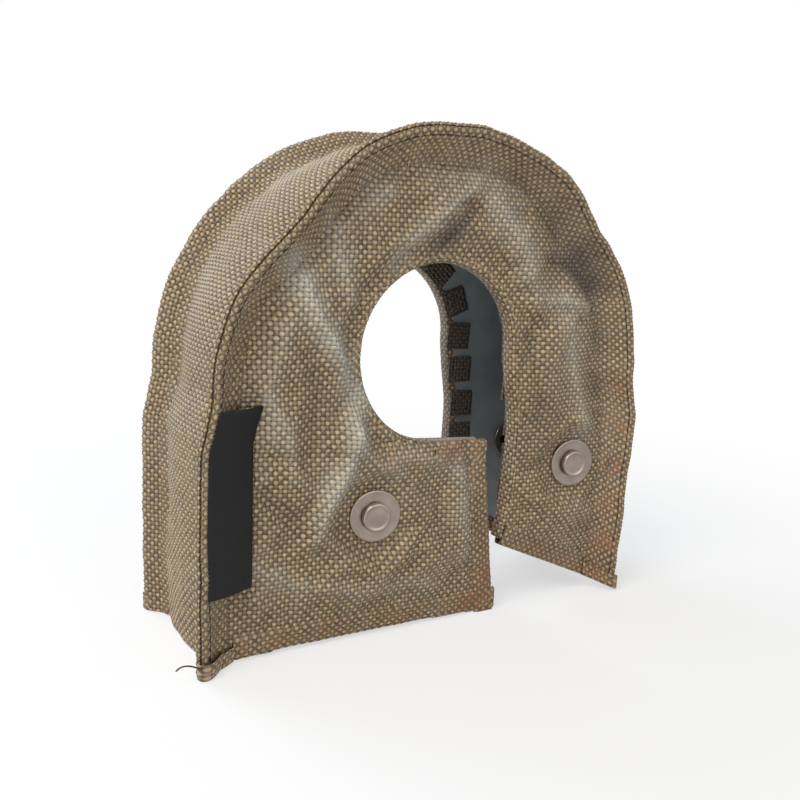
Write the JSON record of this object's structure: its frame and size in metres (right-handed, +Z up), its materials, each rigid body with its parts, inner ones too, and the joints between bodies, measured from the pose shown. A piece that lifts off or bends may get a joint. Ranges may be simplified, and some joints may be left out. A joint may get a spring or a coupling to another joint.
{
  "type": "turbocharger heat blanket",
  "caption": "Padded horseshoe heat blanket for a turbocharger's hot housing: cloth faces and band with turned seam ridges, round opening, side slot, open underside and riveted legs",
  "frame": {"origin": "on the floor under the middle of the blanket, at the bottom centre of its box", "axes": "+X to the right across the legs, +Y from the front face to the back face, +Z up"},
  "size_m": [0.195, 0.0674, 0.1906],
  "materials": {
    "woven_cloth": "satin plain weave of mineral yarn, bronze brown with silvery crowns",
    "insulation": "needled mineral fibre mat",
    "lining": "matte grey silica cloth",
    "rivet_steel": "pressed stainless steel, slightly heat tinted",
    "label_satin": "black woven satin"
  },
  "bodies": {
    "root": {"front_cloth": "woven_cloth", "back_cloth": "woven_cloth", "band_cloth": "woven_cloth", "front_insulation": "insulation", "back_insulation": "insulation", "band_insulation": "insulation", "front_lining": "lining", "back_lining": "lining", "band_lining": "lining", "front_left_washer": "rivet_steel", "front_left_inner_washer": "rivet_steel", "front_left_rivet": "rivet_steel", "front_right_washer": "rivet_steel", "front_right_inner_washer": "rivet_steel", "front_right_rivet": "rivet_steel", "back_left_washer": "rivet_steel", "back_left_inner_washer": "rivet_steel", "back_left_rivet": "rivet_steel", "back_right_washer": "rivet_steel", "back_right_inner_washer": "rivet_steel", "back_right_rivet": "rivet_steel", "label": "label_satin"}
  },
  "joints": []
}
